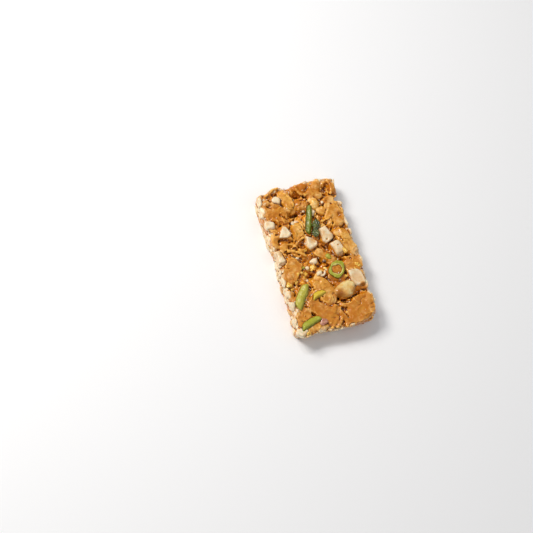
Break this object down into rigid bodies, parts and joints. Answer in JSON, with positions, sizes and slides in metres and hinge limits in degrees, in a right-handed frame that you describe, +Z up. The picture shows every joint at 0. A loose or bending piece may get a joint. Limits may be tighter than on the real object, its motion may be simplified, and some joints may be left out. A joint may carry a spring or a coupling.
{
  "type": "peanut brittle",
  "caption": "Bar of peanut brittle: chopped peanuts in satin amber caramel, pressed flat on top, cut at the sides, with green pistachio slivers, a pistachio ring and a crumpled dark leaf.",
  "frame": {"origin": "centre of the underside, on the flat face the bar lies on", "axes": "+Z up out of the pressed top, +Y along the bar's length, +X across it"},
  "size_m": [0.0515, 0.0912, 0.0139],
  "materials": {
    "caramel": "satin",
    "peanut": "matte",
    "glazed_peanut": "gloss",
    "pistachio": "satin",
    "yellow_pistachio": "satin",
    "dried_leaf": "satin"
  },
  "bodies": {
    "root": {"brittle_slab": "caramel", "peanut_wedge": "peanut", "peanut_half": "peanut", "peanut_split": "peanut", "peanut_tall": "peanut", "peanut_broad": "peanut", "peanut_edge": "peanut", "peanut_glazed": "glazed_peanut", "pistachio_sliver_long": "pistachio", "pistachio_sliver_broad": "pistachio", "pistachio_sliver_near": "pistachio", "pistachio_ring": "pistachio", "pistachio_sliver_yellow": "yellow_pistachio", "herb_leaf": "dried_leaf"}
  },
  "joints": []
}
